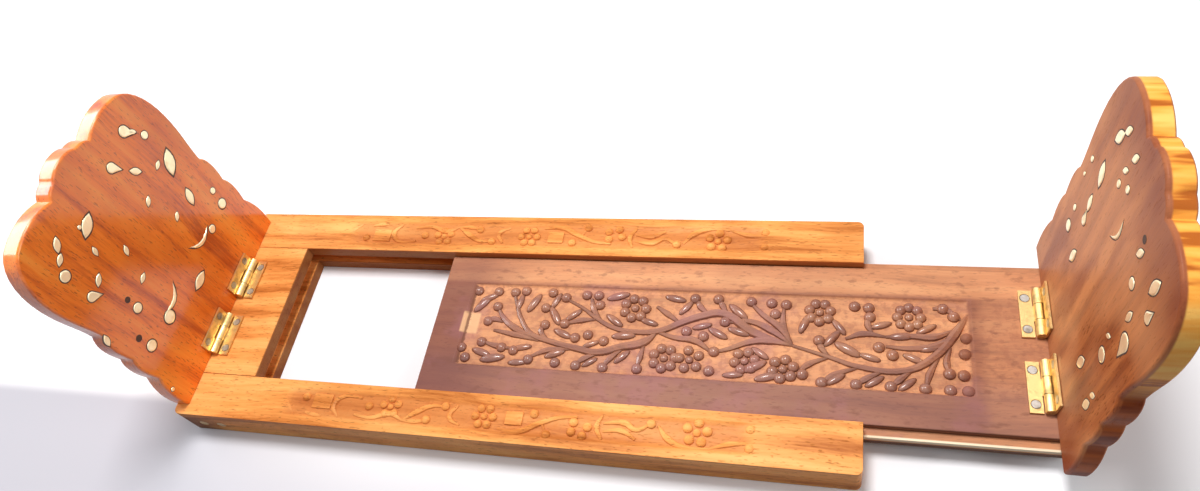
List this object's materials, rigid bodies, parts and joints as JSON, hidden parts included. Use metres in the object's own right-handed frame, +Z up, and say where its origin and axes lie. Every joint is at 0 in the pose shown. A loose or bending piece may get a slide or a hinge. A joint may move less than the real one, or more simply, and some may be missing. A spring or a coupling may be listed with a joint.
{
  "type": "sliding bible stand",
  "caption": "Low carved wooden book rack with a sliding board between two rails and a hinged, brass-inlaid end panel at each end that folds flat.",
  "frame": {"origin": "under the middle of the whole rack with both end panels standing, on the surface it stands on", "axes": "+X along the rails towards the sliding end, +Y across the rails to the rear, +Z up"},
  "size_m": [0.4494, 0.13, 0.1537],
  "materials": {
    "rail_wood": "oiled hardwood, light orange tan, satin",
    "board_wood": "oiled hardwood, brown with a carved and stained field",
    "left_panel_wood": "polished hardwood, orange brown, glossy",
    "right_panel_wood": "polished hardwood, reddish brown, satin",
    "dowel_wood": "plain end grain",
    "inlay_brass": "rubbed brass, slightly dull",
    "hinge_brass": "aged rolled brass",
    "screw_steel": "dull steel, slotted heads"
  },
  "bodies": {
    "frame": {"cross_rail": "rail_wood", "front_dowel_1": "dowel_wood", "front_dowel_2": "dowel_wood", "front_rail": "rail_wood", "left_front_hinge_base_leaf": "hinge_brass", "left_front_hinge_base_screw_1": "screw_steel", "left_front_hinge_base_screw_2": "screw_steel", "left_front_hinge_pin": "hinge_brass", "left_rear_hinge_base_leaf": "hinge_brass", "left_rear_hinge_base_screw_1": "screw_steel", "left_rear_hinge_base_screw_2": "screw_steel", "left_rear_hinge_pin": "hinge_brass", "rear_dowel_1": "dowel_wood", "rear_dowel_2": "dowel_wood", "rear_rail": "rail_wood"},
    "slide_board": {"right_front_hinge_base_leaf": "hinge_brass", "right_front_hinge_base_screw_1": "screw_steel", "right_front_hinge_base_screw_2": "screw_steel", "right_front_hinge_pin": "hinge_brass", "right_rear_hinge_base_leaf": "hinge_brass", "right_rear_hinge_base_screw_1": "screw_steel", "right_rear_hinge_base_screw_2": "screw_steel", "right_rear_hinge_pin": "hinge_brass", "slide_board": "board_wood"},
    "left_panel": {"left_front_hinge_panel_leaf": "hinge_brass", "left_front_hinge_panel_screw_1": "screw_steel", "left_front_hinge_panel_screw_2": "screw_steel", "left_inlay_crescent_6": "inlay_brass", "left_inlay_crescent_7": "inlay_brass", "left_inlay_dot_1": "inlay_brass", "left_inlay_dot_4": "inlay_brass", "left_inlay_dot_5": "inlay_brass", "left_inlay_dot_8": "inlay_brass", "left_inlay_pear_11": "inlay_brass", "left_inlay_pear_12": "inlay_brass", "left_inlay_pear_3": "inlay_brass", "left_inlay_petal_10": "inlay_brass", "left_inlay_petal_2": "inlay_brass", "left_inlay_petal_9": "inlay_brass", "left_panel": "left_panel_wood", "left_rear_hinge_panel_leaf": "hinge_brass", "left_rear_hinge_panel_screw_1": "screw_steel", "left_rear_hinge_panel_screw_2": "screw_steel"},
    "right_panel": {"right_front_hinge_panel_leaf": "hinge_brass", "right_front_hinge_panel_screw_1": "screw_steel", "right_front_hinge_panel_screw_2": "screw_steel", "right_inlay_dot_4": "inlay_brass", "right_inlay_dot_7": "inlay_brass", "right_inlay_pear_3": "inlay_brass", "right_inlay_pear_8": "inlay_brass", "right_inlay_pear_9": "inlay_brass", "right_inlay_petal_1": "inlay_brass", "right_inlay_petal_10": "inlay_brass", "right_inlay_petal_2": "inlay_brass", "right_inlay_petal_5": "inlay_brass", "right_inlay_petal_6": "inlay_brass", "right_panel": "right_panel_wood", "right_rear_hinge_panel_leaf": "hinge_brass", "right_rear_hinge_panel_screw_1": "screw_steel", "right_rear_hinge_panel_screw_2": "screw_steel"}
  },
  "joints": [
    {"name": "board_slide", "type": "slide", "parent": "frame", "child": "slide_board", "axis": [1, 0, 0], "range_m": [-0.077, 0.1]},
    {"name": "left_panel_fold", "type": "hinge", "parent": "frame", "child": "left_panel", "pos_m": [-0.21095, 0, 0.023], "axis": [0, 1, 0], "range_deg": [0, 91]},
    {"name": "right_panel_fold", "type": "hinge", "parent": "slide_board", "child": "right_panel", "pos_m": [0.20645, 0, 0.0185], "axis": [0, -1, 0], "range_deg": [0, 93]}
  ]
}
